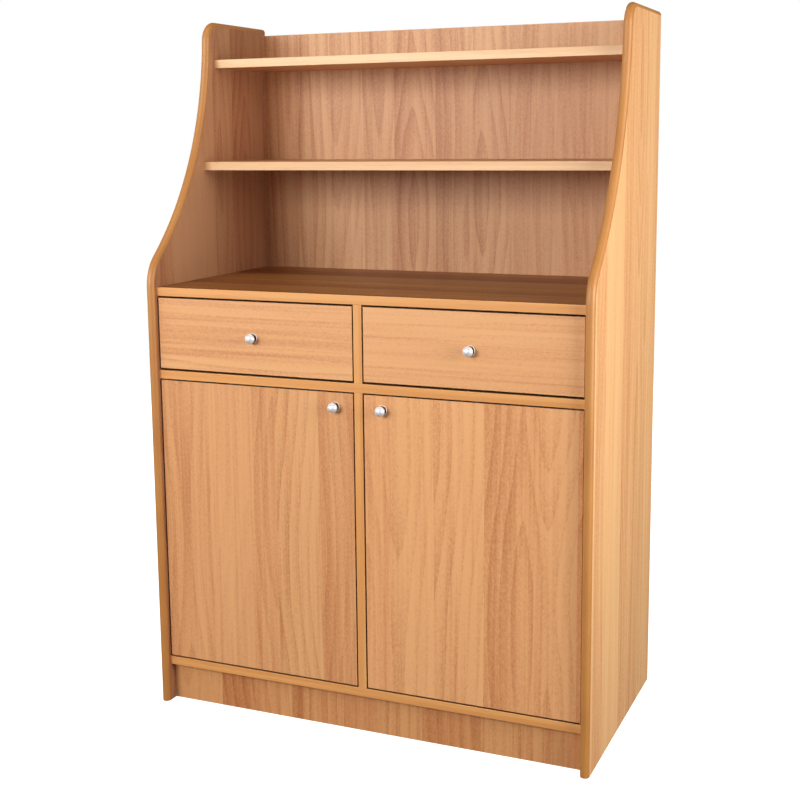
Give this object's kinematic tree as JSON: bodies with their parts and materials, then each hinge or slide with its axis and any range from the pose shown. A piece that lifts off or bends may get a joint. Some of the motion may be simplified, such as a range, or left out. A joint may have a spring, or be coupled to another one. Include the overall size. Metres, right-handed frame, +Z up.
{
  "type": "waiter service station",
  "caption": "Free-standing dining room service cabinet of wood-grain board with an open shelved hutch over a worktop, drawers below it, hinged doors and a recessed plinth.",
  "frame": {"origin": "on the floor, at the middle of the whole footprint with the knobs included", "axes": "+Z up, the front faces -Y, +X to the right seen from the front"},
  "size_m": [0.94, 0.505, 1.44],
  "materials": {
    "laminate": "satin wood-grain laminate",
    "edge_profile": "semi-gloss plain plastic",
    "hardboard": "smooth painted fibreboard",
    "drawer_board": "matt melamine",
    "knob_metal": "satin nickel plate",
    "zinc_steel": "zinc plate",
    "white_steel": "epoxy coat",
    "nylon": "plain",
    "beech": "fluted, unfinished"
  },
  "bodies": {
    "cabinet": {"left_side_panel": "laminate", "right_side_panel": "laminate", "left_edge_profile": "edge_profile", "right_edge_profile": "edge_profile", "worktop": "laminate", "middle_panel": "laminate", "bottom_panel": "laminate", "plinth": "laminate", "hutch_back": "laminate", "lower_hutch_shelf": "laminate", "upper_hutch_shelf": "laminate", "lower_back_sheet": "hardboard", "upper_divider": "laminate", "lower_divider": "laminate", "left_inner_shelf": "laminate", "right_inner_shelf": "laminate", "shelf_pins": "zinc_steel", "pivot_bushes": "nylon", "door_catches": "nylon", "left_cabinet_runners": "white_steel", "right_cabinet_runners": "white_steel", "runner_screws": "zinc_steel", "cam_discs": "zinc_steel", "cam_bolts": "zinc_steel", "dowels": "beech"},
    "left_drawer_set": {"left_drawer_front": "laminate", "left_drawer_outer_side": "drawer_board", "left_drawer_inner_side": "drawer_board", "left_drawer_back": "drawer_board", "left_drawer_floor": "hardboard", "left_drawer_dowels": "beech", "left_drawer_screws": "zinc_steel", "left_drawer_runners": "white_steel", "left_drawer_knob": "knob_metal", "left_drawer_knob_screw": "zinc_steel"},
    "left_front_roller_pair": {"left_front_rollers": "nylon"},
    "left_rear_roller_pair": {"left_rear_rollers": "nylon"},
    "left_door_set": {"left_door": "laminate", "left_door_knob": "knob_metal", "left_door_knob_screw": "zinc_steel", "left_door_pivots": "zinc_steel", "left_door_strike": "zinc_steel"},
    "right_drawer_set": {"right_drawer_front": "laminate", "right_drawer_outer_side": "drawer_board", "right_drawer_inner_side": "drawer_board", "right_drawer_back": "drawer_board", "right_drawer_floor": "hardboard", "right_drawer_dowels": "beech", "right_drawer_screws": "zinc_steel", "right_drawer_runners": "white_steel", "right_drawer_knob": "knob_metal", "right_drawer_knob_screw": "zinc_steel"},
    "right_front_roller_pair": {"right_front_rollers": "nylon"},
    "right_rear_roller_pair": {"right_rear_rollers": "nylon"},
    "right_door_set": {"right_door": "laminate", "right_door_knob": "knob_metal", "right_door_knob_screw": "zinc_steel", "right_door_pivots": "zinc_steel", "right_door_strike": "zinc_steel"}
  },
  "joints": [
    {"name": "left_drawer_slide", "type": "slide", "parent": "cabinet", "child": "left_drawer_set", "axis": [0, -1, 0], "range_m": [0, 0.3]},
    {"name": "left_front_roller_spin", "type": "hinge", "parent": "cabinet", "child": "left_front_roller_pair", "pos_m": [-0.2305, -0.1975, 0.7405], "axis": [1, 0, 0], "range_deg": [-5, 1570]},
    {"name": "left_rear_roller_spin", "type": "hinge", "parent": "left_drawer_set", "child": "left_rear_roller_pair", "pos_m": [-0.2305, 0.1275, 0.7405], "axis": [1, 0, 0], "range_deg": [-5, 1570]},
    {"name": "left_door_swing", "type": "hinge", "parent": "cabinet", "child": "left_door_set", "pos_m": [-0.437, -0.2255, 0.4], "axis": [0, 0, -1], "range_deg": [0, 100]},
    {"name": "right_drawer_slide", "type": "slide", "parent": "cabinet", "child": "right_drawer_set", "axis": [0, -1, 0], "range_m": [0, 0.3]},
    {"name": "right_front_roller_spin", "type": "hinge", "parent": "cabinet", "child": "right_front_roller_pair", "pos_m": [0.2305, -0.1975, 0.7405], "axis": [1, 0, 0], "range_deg": [-5, 1570]},
    {"name": "right_rear_roller_spin", "type": "hinge", "parent": "right_drawer_set", "child": "right_rear_roller_pair", "pos_m": [0.2305, 0.1275, 0.7405], "axis": [1, 0, 0], "range_deg": [-5, 1570]},
    {"name": "right_door_swing", "type": "hinge", "parent": "cabinet", "child": "right_door_set", "pos_m": [0.437, -0.2255, 0.4], "axis": [0, 0, 1], "range_deg": [0, 100]}
  ],
  "couplings": [
    {"joint": "left_front_roller_spin", "follows": "left_drawer_slide", "rad_per_m": 90.909},
    {"joint": "left_rear_roller_spin", "follows": "left_drawer_slide", "rad_per_m": 90.909},
    {"joint": "right_front_roller_spin", "follows": "right_drawer_slide", "rad_per_m": 90.909},
    {"joint": "right_rear_roller_spin", "follows": "right_drawer_slide", "rad_per_m": 90.909}
  ]
}
